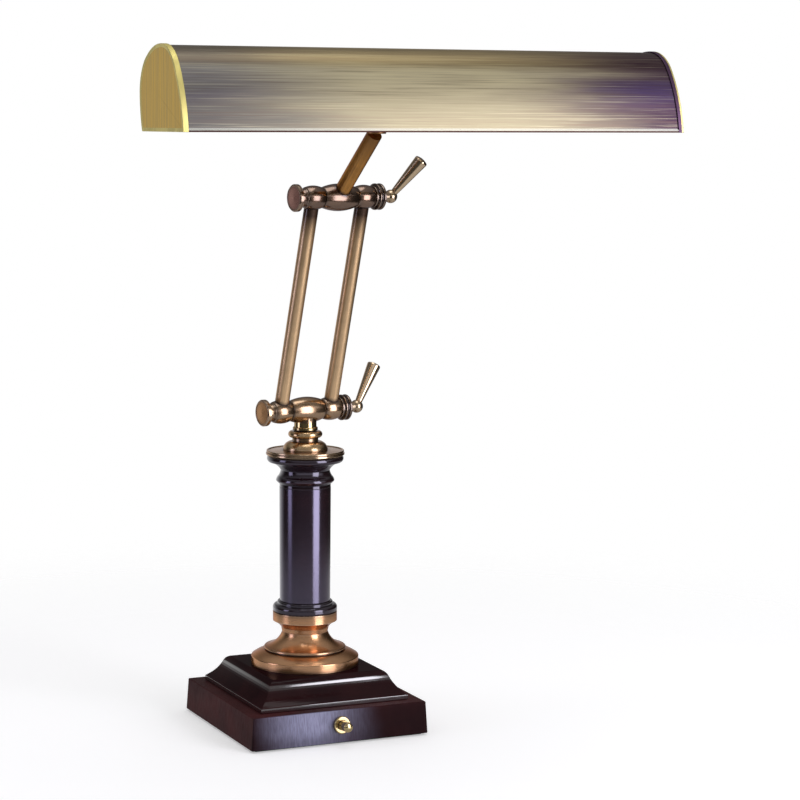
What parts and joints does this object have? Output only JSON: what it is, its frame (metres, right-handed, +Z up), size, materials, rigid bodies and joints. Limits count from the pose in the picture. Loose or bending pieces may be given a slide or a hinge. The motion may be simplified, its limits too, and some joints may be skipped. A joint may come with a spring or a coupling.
{
  "type": "piano lamp",
  "caption": "Piano lamp: square ogee base with dimmer, turned column, twin-rod swing arm with tension levers, and a long curved metal shade on a swivel.",
  "frame": {"origin": "middle of the felt pad's underside, on the table", "axes": "+X along the shade to the right, -Y to the front where the dimmer knob is, +Z up"},
  "size_m": [0.3556, 0.2658, 0.4861],
  "materials": {
    "antique_brass": "antiqued, satin",
    "shade_brass": "antiqued, brushed along the shade",
    "polished_brass": "polished",
    "mahogany_bronze": "dark mahogany bronze, gloss",
    "steel": "zinc plated",
    "iron": "raw casting",
    "felt": "felt",
    "black_plastic": "matt",
    "porcelain": "glazed",
    "lamp_glass": "frosted"
  },
  "bodies": {
    "base": {"felt_pad": "felt", "bottom_plate": "steel", "plate_screws": "steel", "base_plinth": "mahogany_bronze", "weight_plate": "iron", "base_step": "mahogany_bronze", "foot_bell": "antique_brass", "column_collar": "mahogany_bronze", "column_tube": "mahogany_bronze", "column_capital": "mahogany_bronze", "cap_disc": "antique_brass", "swivel_socket": "antique_brass", "column_rod": "steel", "column_nut": "steel", "column_washer": "steel", "column_set_screw": "steel", "dimmer_case": "black_plastic", "dimmer_ring": "polished_brass", "cord_inlet": "black_plastic"},
    "dimmer": {"dimmer_shaft": "steel", "dimmer_knob": "polished_brass"},
    "yoke": {"lower_yoke": "antique_brass"},
    "arms": {"lower_hub_left": "antique_brass", "lower_hub_right": "antique_brass", "upper_hub_left": "antique_brass", "upper_hub_right": "antique_brass", "arm_rod_left": "antique_brass", "arm_rod_right": "antique_brass", "lower_pivot_bolt": "antique_brass", "upper_pivot_bolt": "antique_brass", "lower_spring_washer": "antique_brass", "upper_spring_washer": "antique_brass", "lower_tension_collar": "antique_brass", "upper_tension_collar": "antique_brass"},
    "lower_lever": {"lower_lever": "antique_brass"},
    "upper_lever": {"upper_lever": "antique_brass"},
    "stem": {"upper_centre_hub": "antique_brass", "stem": "antique_brass"},
    "shade": {"shade_swivel_block": "antique_brass", "shade_set_screw": "steel", "shade_nipple": "steel", "nipple_spacer": "antique_brass", "outer_washer": "antique_brass", "inner_washer": "steel", "shade_lock_nut": "steel", "shade_shell": "shade_brass", "end_cap_left": "shade_brass", "end_cap_right": "shade_brass", "cluster_body": "polished_brass", "lamp_holder_left": "porcelain", "lamp_holder_right": "porcelain", "lamp_cap_left": "polished_brass", "lamp_cap_right": "polished_brass", "lamp_glass_left": "lamp_glass", "lamp_glass_right": "lamp_glass"}
  },
  "joints": [
    {"name": "column_swivel", "type": "hinge", "parent": "base", "child": "yoke", "pos_m": [0, 0, 0.23065], "axis": [0, 0, 1], "range_deg": [-170, 170]},
    {"name": "arm_swing", "type": "hinge", "parent": "yoke", "child": "arms", "pos_m": [0, 0, 0.23065], "axis": [0.9877, 0.1564, 0], "range_deg": [-30, 44]},
    {"name": "shade_tilt", "type": "hinge", "parent": "arms", "child": "stem", "pos_m": [0.00675, -0.0426, 0.38514], "axis": [0.9877, 0.1564, 0], "range_deg": [-50, 60]},
    {"name": "shade_swivel", "type": "hinge", "parent": "stem", "child": "shade", "pos_m": [0.01424, -0.08993, 0.43125], "axis": [0, 0, 1], "range_deg": [-31, 49]},
    {"name": "lower_lever_turn", "type": "hinge", "parent": "arms", "child": "lower_lever", "pos_m": [0, 0, 0.23065], "axis": [0.9877, 0.1564, 0], "range_deg": [-90, 90]},
    {"name": "upper_lever_turn", "type": "hinge", "parent": "arms", "child": "upper_lever", "pos_m": [0.00675, -0.0426, 0.38514], "axis": [0.9877, 0.1564, 0], "range_deg": [-90, 90]},
    {"name": "dimmer_turn", "type": "hinge", "parent": "base", "child": "dimmer", "pos_m": [0, -0.06713, 0.0139], "axis": [0, -0.9976, 0.0698], "range_deg": [0, 300]}
  ]
}
